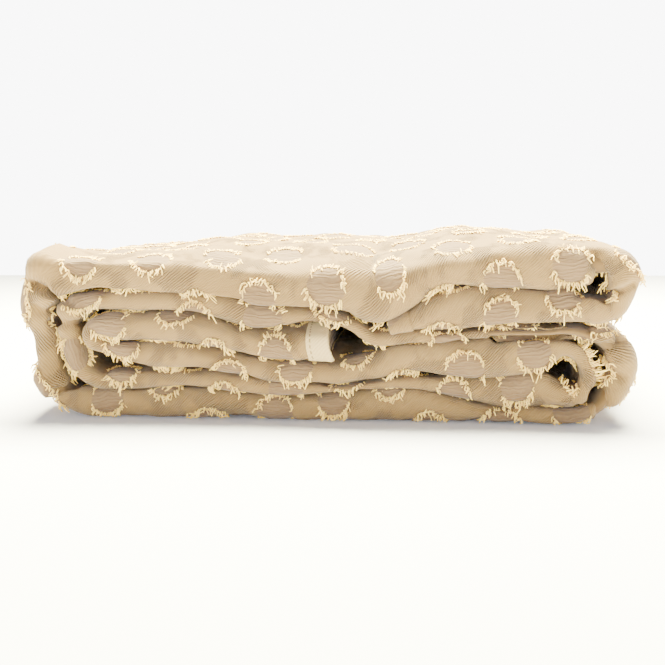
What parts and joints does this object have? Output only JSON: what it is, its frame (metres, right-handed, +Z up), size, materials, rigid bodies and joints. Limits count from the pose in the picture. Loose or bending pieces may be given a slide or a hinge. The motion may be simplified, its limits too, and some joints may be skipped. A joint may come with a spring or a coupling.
{
  "type": "bedspread",
  "caption": "Cotton twill bedspread with round tufted dots, folded lengthwise into a long strip and wound flat into a low rectangular bundle.",
  "frame": {"origin": "middle of the underside's bounding box, on the surface that the bundle rests on", "axes": "+Z up, +X along the bundle's long side, -Y towards the side that shows the cloth's free hemmed end"},
  "size_m": [0.4258, 0.2944, 0.1293],
  "materials": {
    "cloth": "matte beige cotton twill"
  },
  "bodies": {
    "root": {"bedspread": "cloth"}
  },
  "joints": []
}
